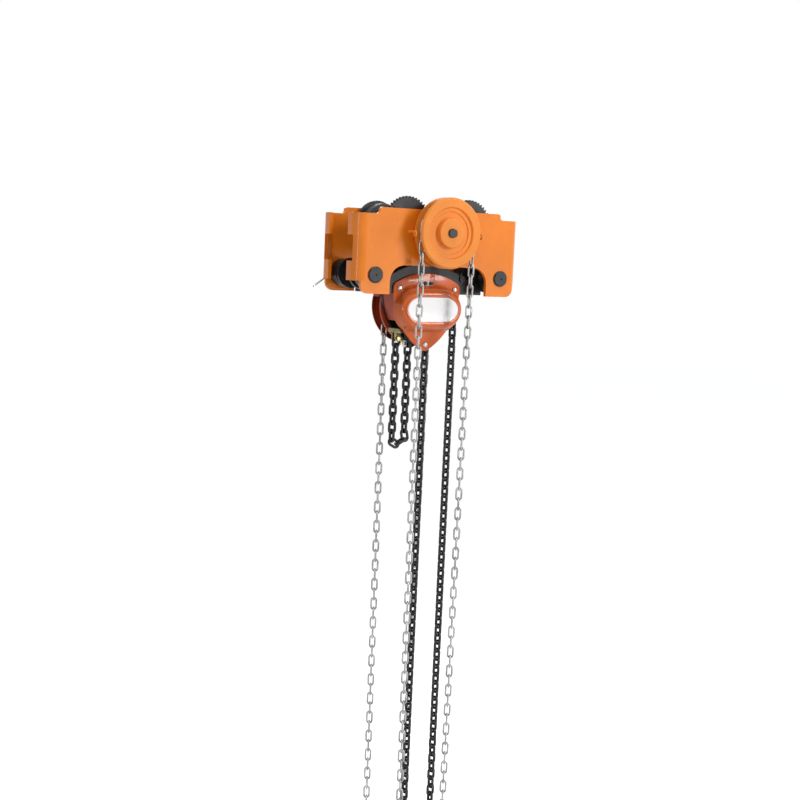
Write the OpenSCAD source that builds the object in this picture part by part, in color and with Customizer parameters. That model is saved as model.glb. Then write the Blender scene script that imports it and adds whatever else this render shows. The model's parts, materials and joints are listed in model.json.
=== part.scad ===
// Geared hoist trolley: a beam trolley driven by a hand chain, with a hand chain hoist built between
// its side plates. X runs along the beam, Y across it, Z up. The hand wheel side is -Y.
// The origin is on the beam's lower flange, where the wheels roll, at the middle of the trolley.

/* [Beam] */
// Width of the beam flange that the trolley runs on
flange_w = 130; // [120:1:140]

/* [Side plates] */
// Length of each side plate along the beam
plate_len = 458; // [440:1:470]
// Thickness of the side plates
plate_t = 9; // [7:0.5:11]
// Gap between the flange edge and the side plate
plate_gap = 14; // [13:0.5:17]
// Height of the plate's raised middle above the wheel tread
plate_top = 81; // [78:1:90]
// Height of the plate's shoulders above the wheel tread
shoulder_top = 66; // [62:1:72]
// Depth of the plate below the wheel tread
plate_drop = 119; // [114:1:126]
// Half length of the raised middle
raised_half = 169; // [150:1:185]
// Half width of the arch over the hoist
arch_half = 136; // [128:1:142]
// Depth of the arch's top below the wheel tread
arch_drop = 51; // [44:1:56]
// Inner radius of the bent plate ends
bend_r = 19; // [16:0.5:20]
// Length that the bent ends reach in from the plate's inner face
tab_reach = 35; // [28:1:38]

/* [Load bars] */
// Diameter of the two load bars
bar_d = 30; // [26:1:34]
// Distance between the load bars
bar_gap = 352; // [340:1:360]
// Depth of the load bars below the wheel tread
bar_drop = 75; // [70:1:80]
// Diameter of the spacer collars
collar_d = 66; // [60:1:66]

/* [Wheels] */
// Diameter of the wheel tread
tread_d = 94; // [92:1:98]
// Distance between the wheel axles along the beam
axle_gap = 172; // [168:1:174]
// Width of the wheel tread
tread_w = 35; // [30:1:38]
// Diameter of the wheel axles
axle_d = 20; // [16:1:24]
// Teeth on each geared wheel
wheel_teeth = 45; // [45:1:46]
// Teeth on the pinion
pinion_teeth = 19; // [19:1:20]
// Module of the wheel gears
wheel_module = 2.75; // [2.75:0.05:2.85]
// Width of the gear rims
gear_w = 9; // [7:0.5:10]

/* [Trolley hand wheel] */
// Diameter of the trolley hand wheel
hand_wheel_d = 167; // [162:1:180]
// Width of the trolley hand wheel
hand_wheel_w = 34; // [30:1:38]
// Distance of the hand wheel's middle from the side plate's outer face
hand_wheel_out = 29; // [28:0.5:34]
// Diameter of the pinion shaft
shaft_d = 22; // [20:0.5:24]

/* [Hoist frame] */
// Depth of the hoist axis below the wheel tread
hoist_drop = 150; // [147:1:154]
// Width of the three-sided gear cover flange
cover_w = 188; // [180:1:192]
// Corner radius of the gear cover flange
cover_r = 16; // [14:1:20]
// Thickness of the suspension plates
frame_t = 8; // [6:0.5:9]
// Clear width between the suspension plates
frame_in = 48; // [44:1:52]
// Thickness of the gear cover flange
cover_flange_t = 6; // [4:0.5:8]
// Half length of the gear cover's bulge
dome_half = 90; // [84:1:93]
// Half height of the gear cover's bulge
dome_high = 54; // [50:1:57]
// Depth of the gear cover's bulge
dome_deep = 30; // [28:1:36]
// Outer radius of the hand wheel cover at the back
drum_r = 93; // [90:1:97]
// Width of the hand wheel cover
drum_w = 36; // [34:1:40]

/* [Chains] */
// Wire diameter of the load chain
load_wire = 6.8; // [6.5:0.1:6.9]
// Pitch of the load chain
load_pitch = 21; // [21:0.1:22]
// Wire diameter of the hand chains
hand_wire = 4.6; // [4.4:0.1:4.8]
// Pitch of the hand chains
hand_pitch = 24.5; // [24:0.1:25]
// Links in each straight run of the trolley hand chain
trolley_run = 57; // [40:1:70]
// Links in each straight run of the hoist hand chain
hoist_run = 52; // [36:1:60]
// Pairs of links from the load sheave down to the hook block
load_pairs = 32; // [20:1:38]
// Pairs of links in the slack loop's run up to the load sheave
slack_pairs = 7; // [6:1:10]

/* [Hook] */
// Width of the hook's opening
hook_bore = 44; // [38:1:48]
// Thickness of the hook's stock
hook_stock = 20; // [16:1:22]

/* [Hidden] */
$fn = 64;

// Clearances: running fit in radius, seated fit in radius, and free space between moving parts
run_fit = 0.05;
seat_fit = 0.02;
free = 0.3;

// Places across the beam, measured out from the middle
plate_in = flange_w / 2 + plate_gap;
plate_out = plate_in + plate_t;
frame_out = frame_in / 2 + frame_t;
plate_half = plate_len / 2;
bar_x = bar_gap / 2;
bar_r = bar_d / 2;

// Wheels and drive gears
wheel_x = axle_gap / 2;
tread_r = tread_d / 2;
wheel_z = tread_r;
axle_r = axle_d / 2;
bush_r = axle_r + 2;
gear_out = plate_in - 3;
gear_in = gear_out - gear_w;
wheel_in = gear_in - tread_w;
gear_distance = wheel_module * (wheel_teeth + pinion_teeth) / 2;
pinion_z = wheel_z - sqrt(gear_distance * gear_distance - wheel_x * wheel_x);
mesh_angle = atan2(wheel_z - pinion_z, wheel_x);
shaft_r = shaft_d / 2;
wheel_y = plate_out + hand_wheel_out;

// Half widths of the links, and the play between one link and the next
hand_link_half = 4.1 + hand_wire;
load_link_half = 4.6 + load_wire;
hand_play = 0.8;
load_play = 0.9;

// Trolley hand wheel and hoist hand wheel, each with a whole number of links round it
trolley_links = 18;
hoist_links = 16;
trolley_chain_r = hand_pitch / 2 / tan(180 / trolley_links);
hoist_chain_r = hand_pitch / 2 / tan(180 / hoist_links);

// Load chain: a link that stands edge on is drawn in where the chain bends by an angle on both its sides
load_run = 2 * load_pairs;
slack_run = 2 * slack_pairs + 1;
slack_links = slack_run - 3;
load_inner = load_pitch + load_play;
wire_reach = (load_play + load_wire) / 2;
function drawn_in(a, b) = min(load_pitch, load_inner - load_wire - 0.2 + wire_reach * (cos(a) + cos(b)));

// Load sheave and idler sheave: radius to the middle of the links that lie flat on them
sheave_links = 8;
idler_links = 12;
function flat_r(step) = let (a = atan2(load_pitch * sin(step), drawn_in(step, step) + load_pitch * cos(step)))
    load_pitch / 2 / tan(a);
sheave_r = flat_r(360 / sheave_links);
idler_r = flat_r(360 / idler_links);
idler_x = sheave_r + idler_r;
dead_x = idler_x + idler_r;
idler_z = -hoist_drop - load_run * load_pitch;
dead_run = load_run + 3;

// Slack loop: its lowest point, and the foot of the leg that hangs from the anchor
loop_lean = 60;
loop_x = -sheave_r - load_pitch * sin(loop_lean);
loop_z = -hoist_drop - load_pitch * (slack_run - 0.5) - drawn_in(0, loop_lean) - load_pitch * cos(loop_lean);
slack_x = loop_x - drawn_in(loop_lean, loop_lean) * sin(loop_lean);
slack_z = loop_z + drawn_in(loop_lean, loop_lean) * cos(loop_lean);
anchor_pin_r = 3.5;
dead_pin_r = 4.2;
anchor_z = slack_z + load_pitch * (slack_links - 0.5) + load_inner / 2 - anchor_pin_r - free;
dead_pin_z = idler_z + dead_run * load_pitch + load_inner / 2 - dead_pin_r - free;

// Hoist gears
load_gear_teeth = 30;
load_gear_module = 2;
disc_pinion_teeth = 12;
disc_teeth = 44;
disc_module = 1.5;
drive_teeth = 12;
disc_x = load_gear_module * (load_gear_teeth + disc_pinion_teeth) / 2;
journal_r = 15;
drive_r = 7;
disc_journal_r = 5.5;
cover_in = frame_out;
cover_face = cover_in + cover_flange_t;
dome_face = cover_face + dome_deep;
dome_wall = 3;
dome_z = -hoist_drop - 4;
stay_r = 4;
stay_ring = 79;

// Rear of the hoist, behind the rear suspension plate
brake_start = frame_out + 1;
hoist_wheel_y = frame_out + 21;
drum_start = frame_out + 4;
drum_end = drum_start + drum_w;
drum_wall = 2.5;
brake_cover_r = 87;

// Rod along Y from y0 to y1, its axis through x and z
module rod_y(r, y0, y1, x = 0, z = 0)
    translate([x, y0, z]) rotate([-90, 0, 0]) cylinder(r = r, h = y1 - y0);

// Slab along Y from y0 to y1 of an outline drawn in X and Z
module slab_y(y0, y1)
    translate([0, y1, 0]) rotate([90, 0, 0]) linear_extrude(y1 - y0) children();

// Ring turned about an axis along Y, from a profile of radius and distance along Y
module turned_y(x, y, z, points)
    translate([x, y, z]) rotate([-90, 0, 0]) rotate_extrude() polygon(points);

// Both ends of something that is symmetric along the beam
module both_ends() {
    children();
    mirror([1, 0, 0]) children();
}

// Front and rear of something that is symmetric across the beam
module both_sides() {
    children();
    mirror([0, 1, 0]) children();
}

// Points along a round corner
function corner(x, z, r, a0, a1, n = 8) =
    [for (i = [0 : n]) let (a = a0 + (a1 - a0) * i / n) [x + r * cos(a), z + r * sin(a)]];

// The same points mirrored in X, in the order that closes an outline
function mirrored(points) = [for (i = [len(points) - 1 : -1 : 0]) [-points[i][0], points[i][1]]];

// Stadium outline, half its length and half its height
module stadium(half_len, half_high) {
    square([2 * (half_len - half_high), 2 * half_high], center = true);
    for (s = [-1, 1]) translate([s * (half_len - half_high), 0]) circle(r = half_high);
}

// Three-sided outline of constant width w with round corners r, one corner pointing down
module three_sided(w, r) {
    side = w - 2 * r;
    out = side / sqrt(3);
    difference() {
        intersection_for (a = [-90, 30, 150]) rotate(a) translate([out, 0]) circle(r = side + r, $fn = 120);
        for (a = [-90, 30, 150]) rotate(a) translate([out + r * cos(30), -w]) square([w, 2 * w]);
    }
    for (a = [-90, 30, 150]) rotate(a) translate([out, 0]) circle(r = r);
}

// Involute gear outline
pressure = 25;
function involute(a) = tan(a) * 180 / PI - a;
function tooth_half(z, r, rb, thin) =
    90 / z - thin + involute(pressure) - involute(acos(min(1, rb / r)));
module gear_outline(z, m, thin) {
    rp = m * z / 2;
    rb = rp * cos(pressure);
    ra = rp + 0.8 * m;
    rf = rp - 1.05 * m;
    r0 = max(rb, rf);
    steps = 4;
    flank = [for (i = [0 : steps]) let (r = r0 + (ra - r0) * i / steps) [r, tooth_half(z, r, rb, thin)]];
    root_half = tooth_half(z, r0, rb, thin);
    polygon([for (k = [0 : z - 1]) let (c = 360 * k / z) each concat(
        [[rf * cos(c - root_half), rf * sin(c - root_half)]],
        [for (p = flank) [p[0] * cos(c - p[1]), p[0] * sin(c - p[1])]],
        [for (i = [steps : -1 : 0]) let (p = flank[i]) [p[0] * cos(c + p[1]), p[0] * sin(c + p[1])]],
        [[rf * cos(c + root_half), rf * sin(c + root_half)]])]);
}

// Angle that a tooth flank is thinned by, for the play given in millimetres
function play(z, m, t) = t / (m * z / 2) * 180 / PI;

// Angle of the first tooth of a gear that meets another whose tooth stands at angle 0
function meshed(z1, z2, a) = a + 180 + ((a * z1 / 360) - floor(a * z1 / 360) + 0.5) * 360 / z2;

// Hand wheel chain groove: profile points from the rim's front edge to its rear edge, half width first
function groove(chain_r, rim_r, tip, rise) = let (seat = chain_r - hand_wire / 2 - free,
    slot = chain_r - hand_link_half - free, side = hand_link_half + 0.5, lane = hand_wire / 2 + free)
    [[rim_r, -tip - rise], [rim_r, -tip], [seat, -side], [seat, -lane], [slot, -lane],
     [slot, lane], [seat, lane], [seat, side], [rim_r, tip], [rim_r, tip + rise]];

// Side plate with its bent ends, drawn at the rear
ear_top = -plate_drop + 29;
ear_half = plate_half - 15;
flat_x = plate_half - plate_t - bend_r;
notch_low = -45;
notch_high = 15;
notch_keep = 11;
module side_plate() {
    edge = concat(corner(ear_half - 20, -plate_drop + 20, 20, -90, 0),
        [[ear_half, ear_top], [flat_x, ear_top], [flat_x, shoulder_top]],
        corner(raised_half + 8, shoulder_top + 8, 8, 270, 180), corner(raised_half - 6, plate_top - 6, 6, 0, 90));
    arch = concat([[arch_half, -plate_drop - 1]], corner(arch_half - 38, -arch_drop - 38, 38, 0, 90));
    bend = concat([[flat_x - 1, plate_out]], corner(flat_x, plate_in - bend_r, bend_r + plate_t, 90, 0),
        [[plate_half, plate_in - tab_reach], [plate_half - plate_t, plate_in - tab_reach]],
        corner(flat_x, plate_in - bend_r, bend_r, 0, 90), [[flat_x - 1, plate_in]]);
    difference() {
        union() {
            slab_y(plate_in, plate_out) difference() {
                polygon(concat(edge, mirrored(edge)));
                polygon(concat(arch, mirrored(arch)));
            }
            both_ends() translate([0, 0, ear_top]) linear_extrude(shoulder_top - ear_top) polygon(bend);
        }
        both_ends() translate([plate_half - plate_t - 4, plate_in - tab_reach - 1, notch_low])
            cube([plate_t + 5, tab_reach - notch_keep + 1, notch_high - notch_low]);
        both_ends() rod_y(bar_r + seat_fit, plate_in - 1, plate_out + 1, bar_x, -bar_drop);
        both_ends() rod_y(axle_r + seat_fit, plate_in - 1, plate_out - 3, wheel_x, wheel_z);
    }
}

bush_out = 14;
module front_side_plate() color("darkorange") difference() {
    mirror([0, 1, 0]) side_plate();
    rod_y(bush_out + seat_fit, -plate_out - 1, -plate_in + 1, 0, pinion_z);
}

module rear_side_plate() color("darkorange") side_plate();

// Load bars with a head in front, and the nut and split pin behind
nut_t = 22;
pin_r = 2.4;
pin_y = plate_out + nut_t + 5;
pin_slope = 34;
module pin_place(x) translate([x, pin_y, -bar_drop]) rotate([0, -90 - pin_slope, 0]) children();
module load_bars() color("dimgray") difference() {
    for (x = [-bar_x, bar_x]) {
        rod_y(bar_r, -plate_out - 1, pin_y + 7, x, -bar_drop);
        turned_y(x, -plate_out, -bar_drop, [[0, -5], [bar_r + 2, -5], [bar_r + 4, -3], [bar_r + 4, 0], [0, 0]]);
    }
    for (x = [-bar_x, bar_x]) pin_place(x) cylinder(r = pin_r + seat_fit, h = 2 * bar_d, center = true);
    for (x = [-bar_x, bar_x]) rod_y(3, -plate_out - 6, -plate_out - 3, x, -bar_drop);
}

module bar_nuts() color("dimgray") for (x = [-bar_x, bar_x]) difference() {
    translate([x, plate_out, -bar_drop]) rotate([-90, 0, 0]) cylinder(r = 27, h = nut_t, $fn = 6);
    rod_y(bar_r + seat_fit, plate_out - 1, plate_out + nut_t + 1, x, -bar_drop);
}

module split_pins() color("silver") for (x = [-bar_x, bar_x]) pin_place(x) {
    translate([0, 0, -bar_r - 4]) cylinder(r = pin_r, h = bar_r + 70);
    translate([0, 0, -bar_r - 9]) rotate([90, 0, 0]) rotate_extrude() translate([5, 0]) circle(r = pin_r);
}

collar_start = frame_out + 10;
collar_end = plate_in - 7;
sleeve_r = bar_r + 6;
module spacer_collars() color("dimgray") both_ends() {
    both_sides() turned_y(bar_x, 0, -bar_drop, [[bar_r + seat_fit, frame_out], [sleeve_r, frame_out],
        [sleeve_r, collar_start], [collar_d / 2, collar_start], [collar_d / 2, collar_end],
        [bar_r + seat_fit, collar_end]]);
    turned_y(bar_x, 0, -bar_drop, [[bar_r + seat_fit, -frame_in / 2], [sleeve_r, -frame_in / 2],
        [sleeve_r, frame_in / 2], [bar_r + seat_fit, frame_in / 2]]);
}

module spacer_washers() color("silver") both_ends() both_sides() turned_y(bar_x, 0, -bar_drop,
    [[bar_r + seat_fit, collar_end], [bar_r + 4, collar_end], [bar_r + 4, plate_in], [bar_r + seat_fit, plate_in]]);

// Suspension plates, which hang on the load bars and hold the hoist
bearing_r = 25;
stay_angles = [-90, 30, 150];
screw_ring = (cover_w - 2 * cover_r) / sqrt(3);
screw_r = 3.4;
pawl_pin_r = 4;
pawl_x = -40;
pawl_up = 44;
module frame_plate(y0, y1) difference() {
    slab_y(y0, y1) {
        for (x = [-bar_x, bar_x]) translate([x, -bar_drop]) circle(r = bar_r + 21);
        translate([-bar_x + 16, -bar_drop - 43]) square([2 * bar_x - 32, 36]);
        intersection() {
            translate([0, -bar_drop - 160]) circle(r = 188, $fn = 120);
            translate([-130, -bar_drop - 43]) square([260, 80]);
        }
        translate([0, -hoist_drop]) three_sided(cover_w - 8, cover_r - 2);
    }
    for (x = [-bar_x, bar_x]) rod_y(bar_r + seat_fit, y0 - 1, y1 + 1, x, -bar_drop);
    for (a = stay_angles) rod_y(stay_r + seat_fit, y0 - 1, y1 + 1, stay_ring * cos(a), stay_ring * sin(a) - hoist_drop);
    rod_y(bearing_r + seat_fit, y0 - 1, y1 + 1, 0, -hoist_drop);
    rod_y(dead_pin_r + seat_fit, y0 - 1, y1 + 1, dead_x, dead_pin_z);
}

module front_suspension_plate() color("dimgray") difference() {
    frame_plate(-frame_out, -frame_in / 2);
    for (x = [-disc_x, disc_x]) rod_y(disc_journal_r + run_fit, -frame_out - 1, -frame_in / 2 + 1, x, -hoist_drop);
    for (a = stay_angles) rod_y(screw_r + seat_fit, -frame_out - 1, -frame_in / 2 + 1,
        screw_ring * cos(a), screw_ring * sin(a) - hoist_drop);
}

module rear_suspension_plate() color("dimgray") difference() {
    frame_plate(frame_in / 2, frame_out);
    rod_y(pawl_pin_r + seat_fit, frame_in / 2 - 1, frame_out + 1, pawl_x, pawl_up - hoist_drop);
}

module stay_bolts() color("silver") for (a = stay_angles) {
    x = stay_ring * cos(a);
    z = stay_ring * sin(a) - hoist_drop;
    rod_y(stay_r, -frame_out, drum_end + 5, x, z);
    rod_y(stay_r + 3, -frame_in / 2, frame_in / 2, x, z);
    rod_y(stay_r + 1, frame_out, drum_end - drum_wall, x, z);
}

// Wheels: axles fixed in the side plates, bushes on them, and the wheels turning on the bushes
module wheel_axles() color("dimgray") both_ends() both_sides() {
    rod_y(axle_r, wheel_in - 4, plate_out - 3 - seat_fit, wheel_x, wheel_z);
    rod_y(axle_r + 5, gear_out + free, plate_in, wheel_x, wheel_z);
}

module axle_rings() color("silver") both_ends() both_sides() turned_y(wheel_x, 0, wheel_z,
    [[axle_r, wheel_in - 2], [axle_r + 4.5, wheel_in - 2], [axle_r + 4.5, wheel_in - free], [axle_r, wheel_in - free]]);

module wheel_bushes() color("goldenrod") both_ends() both_sides() turned_y(wheel_x, 0, wheel_z,
    [[axle_r + seat_fit, wheel_in], [bush_r, wheel_in], [bush_r, gear_out], [axle_r + seat_fit, gear_out]]);

// Wheel's turned shape at the rear, with a rim that stands out past the tread
module wheel_turned(x, rim) turned_y(x, 0, wheel_z, [[bush_r + run_fit, wheel_in], [tread_r / 2, wheel_in],
    [tread_r / 2 + 1, wheel_in + 12], [tread_r - 12, wheel_in + 12], [tread_r - 11, wheel_in], [tread_r - 2, wheel_in],
    [tread_r, wheel_in + 2], [tread_r, gear_in], [rim, gear_in], [rim, gear_out - 1.5], [rim - 1.5, gear_out],
    [bush_r + run_fit, gear_out]]);

wheel_play = play(wheel_teeth, wheel_module, 0.3);
module geared_wheel(x, contact) {
    mirror([0, 1, 0]) wheel_turned(x, tread_r + 1.5);
    slab_y(-gear_out, -gear_in) translate([x, wheel_z]) difference() {
        rotate(meshed(pinion_teeth, wheel_teeth, contact)) gear_outline(wheel_teeth, wheel_module, wheel_play);
        circle(r = tread_r - 5);
    }
}

module geared_wheel_left() color("dimgray") geared_wheel(-wheel_x, 180 - mesh_angle);
module geared_wheel_right() color("dimgray") geared_wheel(wheel_x, mesh_angle);
module plain_wheel_left() color("dimgray") wheel_turned(-wheel_x, tread_r + 7);
module plain_wheel_right() color("dimgray") wheel_turned(wheel_x, tread_r + 7);

// Pinion shaft through the front plate, with the hand wheel on its end
shaft_end = wheel_y + 25;
module pinion_bush() color("goldenrod") turned_y(0, 0, pinion_z, [[shaft_r + run_fit, -plate_out - 2],
    [bush_out + 4, -plate_out - 2], [bush_out + 4, -plate_out], [bush_out, -plate_out], [bush_out, -plate_in],
    [shaft_r + run_fit, -plate_in]]);

module pinion_shaft() color("dimgray") difference() {
    union() {
        slab_y(-gear_out - 1, -gear_in + 1) translate([0, pinion_z])
            gear_outline(pinion_teeth, wheel_module, play(pinion_teeth, wheel_module, 0.3));
        rod_y(shaft_r, -shaft_end, -gear_out, 0, pinion_z);
        rod_y(shaft_r + 2.5, -plate_in + free, -gear_out, 0, pinion_z);
        rod_y(shaft_r + 4, -wheel_y + hand_wheel_w / 2, -plate_out - 2 - free, 0, pinion_z);
    }
    for (s = [-1, 1]) translate([-shaft_r, -shaft_end - 1, pinion_z + s * (shaft_r + 8) - 10])
        cube([shaft_d, 6, 20]);
}

hand_half = hand_wheel_w / 2;
hand_rim = hand_wheel_d / 2;
module trolley_hand_wheel() color("orange") turned_y(0, -wheel_y, pinion_z, concat(
    [[shaft_r + seat_fit, -hand_half - 3], [shaft_r + 22, -hand_half - 3], [shaft_r + 24, -hand_half - 1],
     [shaft_r + 24, -hand_half + 8], [hand_rim - 34, -hand_half + 8], [hand_rim - 33, -hand_half + 5.5],
     [hand_rim - 25, -hand_half + 5.5], [hand_rim - 23, -hand_half + 1], [hand_rim - 21, -hand_half],
     [hand_rim - 4, -hand_half]],
    groove(trolley_chain_r, hand_rim, hand_half - 5, 1.5),
    [[hand_rim - 3, hand_half], [hand_rim - 24, hand_half], [hand_rim - 26, hand_half - 11],
     [shaft_r + 24, hand_half - 11], [shaft_r + 24, hand_half], [shaft_r + seat_fit, hand_half]]));

// Chain guide: a bar behind the hand wheel whose ends come forward beside the rim
guide_r = 3;
guide_y = plate_out + 7;
module trolley_chain_guide() color("orange") {
    reach = hand_rim + 9;
    turned_y(0, 0, pinion_z, [[bush_out + 5, -guide_y - 1.5], [bush_out + 10, -guide_y - 1.5],
        [bush_out + 10, -plate_out], [bush_out + 5, -plate_out]]);
    both_ends() {
        translate([bush_out + 9, -guide_y, pinion_z]) rotate([0, 90, 0]) cylinder(r = 2, h = reach - bush_out - 9);
        rod_y(guide_r, -wheel_y - 5, -guide_y + 3, reach, pinion_z);
        translate([reach, -wheel_y - 3, pinion_z - 5]) rotate([0, 90, 0]) rotate_extrude() translate([5, 0]) circle(r = 2);
    }
}

// Gear cover: a three-sided flange with a bulge over the gears, and a rim round the name plate
module dome(inset, y_in, y_out) hull() {
    slab_y(-y_in - 1, -y_in) stadium(dome_half - inset, dome_high - inset);
    slab_y(-y_out + 8, -y_out + 7) stadium(dome_half - inset - 3, dome_high - inset - 6);
    slab_y(-y_out, -y_out + 1) stadium(dome_half - inset - 10, dome_high - inset - 14);
}
label_half = dome_half - 19;
label_high = dome_high - 25;
screw_places = [for (a = stay_angles) [screw_ring * cos(a), screw_ring * sin(a) - hoist_drop]];
module gear_cover() color("coral") {
    difference() {
        union() {
            slab_y(-cover_face, -cover_in) translate([0, -hoist_drop]) three_sided(cover_w, cover_r);
            translate([0, 0, dome_z]) dome(0, cover_face - 2, dome_face, $fn = 32);
        }
        translate([0, 0, dome_z]) dome(dome_wall, cover_in - 1, dome_face - dome_wall, $fn = 32);
        for (p = screw_places) rod_y(screw_r + seat_fit, -cover_face - 1, -cover_in + 1, p[0], p[1]);
    }
    slab_y(-dome_face - 2.5, -dome_face) translate([0, dome_z]) difference() {
        stadium(label_half + 7, label_high + 7);
        stadium(label_half + 1, label_high + 1);
    }
}

module name_plate() color("white") slab_y(-dome_face - 1.2, -dome_face)
    translate([0, dome_z]) stadium(label_half, label_high);

module cover_screws() color("silver") for (p = screw_places) {
    rod_y(screw_r, -cover_face, -frame_in / 2, p[0], p[1]);
    turned_y(p[0], -cover_face, p[1], [[0, -6], [3, -5.5], [5.5, -4], [6.5, -1.5], [6.5, 0], [0, 0]]);
}

// Small plate with two nuts above the bulge
mark_z = dome_z + dome_high + 7.5;
mark_half = 8;
module mark_plate() color("white") difference() {
    slab_y(-cover_face - 1.5, -cover_face) translate([-mark_half - 6, mark_z - 5]) square([2 * mark_half + 12, 10]);
    for (x = [-mark_half, mark_half]) rod_y(2.5, -cover_face - 2, -cover_face + 1, x, mark_z);
}

module mark_nuts() color("dimgray") for (x = [-mark_half, mark_half]) {
    translate([x, -cover_face - 1.5, mark_z]) rotate([90, 0, 0]) cylinder(r = 5.2, h = 4.5, $fn = 6);
    rod_y(2.45, -cover_face - 8, -cover_face, x, mark_z);
}

// Load sheave in its bearings, with the load gear on its front journal
sheave_slot = sheave_r - load_link_half - 0.35;
sheave_seat = sheave_r - load_wire / 2 - 0.35;
load_lane = load_wire / 2 + 0.4;
load_side = load_link_half + 0.4;
gear_start = cover_in + 7;
module sheave_bearings() color("silver") both_sides() turned_y(0, 0, -hoist_drop, [[journal_r + run_fit, frame_in / 2],
    [bearing_r, frame_in / 2], [bearing_r, frame_out], [journal_r + run_fit, frame_out]]);

module load_sheave() color("dimgray") turned_y(0, 0, -hoist_drop, [[drive_r + run_fit, -gear_start - 9],
    [journal_r, -gear_start - 9], [journal_r, -frame_in / 2 + free], [journal_r + 4, -frame_in / 2 + free],
    [journal_r + 4, -load_side - 1.5], [sheave_r + 6, -load_side - 1.5], [sheave_r + 6, -load_side],
    [sheave_seat, -load_side], [sheave_seat, -load_lane], [sheave_slot, -load_lane], [sheave_slot, load_lane],
    [sheave_seat, load_lane], [sheave_seat, load_side], [sheave_r + 6, load_side], [sheave_r + 6, load_side + 1.5],
    [journal_r + 4, load_side + 1.5], [journal_r + 4, frame_in / 2 - free], [journal_r, frame_in / 2 - free],
    [journal_r, frame_out], [drive_r + run_fit, frame_out]]);

module load_gear() color("dimgray") slab_y(-gear_start - 8, -gear_start) translate([0, -hoist_drop]) difference() {
    gear_outline(load_gear_teeth, load_gear_module, play(load_gear_teeth, load_gear_module, 0.2));
    circle(r = journal_r + seat_fit);
}

module disc_gear(x, contact) {
    at = [x, -hoist_drop];
    turn = meshed(load_gear_teeth, disc_pinion_teeth, contact);
    slab_y(-gear_start - 11, -gear_start + 1) translate(at) rotate(turn)
        gear_outline(disc_pinion_teeth, load_gear_module, play(disc_pinion_teeth, load_gear_module, 0.2));
    slab_y(-gear_start - 19, -gear_start - 11) translate(at) rotate(meshed(drive_teeth, disc_teeth, contact))
        gear_outline(disc_teeth, disc_module, play(disc_teeth, disc_module, 0.15));
    rod_y(disc_journal_r, -gear_start - 21, -frame_in / 2 - free, x, -hoist_drop);
}
module disc_gear_left() color("dimgray") disc_gear(-disc_x, 180);
module disc_gear_right() color("dimgray") disc_gear(disc_x, 0);

// Drive shaft through the sheave, with the brake and the hand wheel on its rear end
hub_r = 14.9;
ratchet_r = 40;
ratchet_start = brake_start + 5;
wheel_hub_start = brake_start + 10;
module drive_shaft() color("silver") {
    rod_y(drive_r, -gear_start - 18, hoist_wheel_y + 11, 0, -hoist_drop);
    slab_y(-gear_start - 20, -gear_start - 10.5) translate([0, -hoist_drop])
        gear_outline(drive_teeth, disc_module, play(drive_teeth, disc_module, 0.15));
}

module brake_hub() color("dimgray") turned_y(0, 0, -hoist_drop, [[drive_r + seat_fit, brake_start], [28, brake_start],
    [28, brake_start + 3], [hub_r, brake_start + 3], [hub_r, wheel_hub_start], [drive_r + seat_fit, wheel_hub_start]]);

module friction_discs() color("saddlebrown") for (y = [brake_start + 3, ratchet_start + 3])
    turned_y(0, y, -hoist_drop, [[hub_r + seat_fit, 0], [30, 0], [30, 2], [hub_r + seat_fit, 2]]);

ratchet_teeth = 12;
module ratchet_disc() color("dimgray") slab_y(ratchet_start, ratchet_start + 3) translate([0, -hoist_drop]) difference() {
    polygon([for (k = [0 : ratchet_teeth - 1]) let (a = 360 * k / ratchet_teeth) each
        [[ratchet_r * cos(a), ratchet_r * sin(a)], [(ratchet_r - 6) * cos(a + 3), (ratchet_r - 6) * sin(a + 3)]]]);
    circle(r = hub_r + seat_fit);
}

module pawl() color("dimgray") slab_y(ratchet_start, ratchet_start + 3) translate([0, -hoist_drop]) difference() {
    union() {
        polygon([[pawl_x, pawl_up - 7], [-7, ratchet_r + 0.7], [-7, ratchet_r + 5], [pawl_x, pawl_up + 7]]);
        translate([pawl_x, pawl_up]) circle(r = 7);
    }
    translate([pawl_x, pawl_up]) circle(r = pawl_pin_r + run_fit);
}

module pawl_pin() color("silver") {
    rod_y(pawl_pin_r, frame_in / 2, ratchet_start + 4, pawl_x, pawl_up - hoist_drop);
    rod_y(pawl_pin_r + 2, frame_out, ratchet_start - free, pawl_x, pawl_up - hoist_drop);
}

module hoist_hand_wheel() color("coral") turned_y(0, hoist_wheel_y, -hoist_drop, concat(
    [[drive_r + seat_fit, wheel_hub_start - hoist_wheel_y], [24, wheel_hub_start - hoist_wheel_y],
     [26, -2], [hoist_chain_r - 14, -2], [hoist_chain_r - 12, -10.5]],
    groove(hoist_chain_r, hoist_chain_r + 11, 9.5, 1),
    [[hoist_chain_r - 12, 10.5], [hoist_chain_r - 14, 3], [24, 3], [22, 11], [drive_r + seat_fit, 11]]));

// Brake cover and hand wheel cover behind the rear suspension plate
module brake_cover() color("firebrick") difference() {
    turned_y(0, 0, -hoist_drop, [[70, frame_out], [brake_cover_r, frame_out], [brake_cover_r, frame_out + 8],
        [brake_cover_r - 2, frame_out + 8], [brake_cover_r - 2, frame_out + 2], [70, frame_out + 2]]);
    for (a = stay_angles) rod_y(stay_r + 1 + seat_fit, frame_out - 1, frame_out + 3,
        stay_ring * cos(a), stay_ring * sin(a) - hoist_drop);
}

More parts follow.
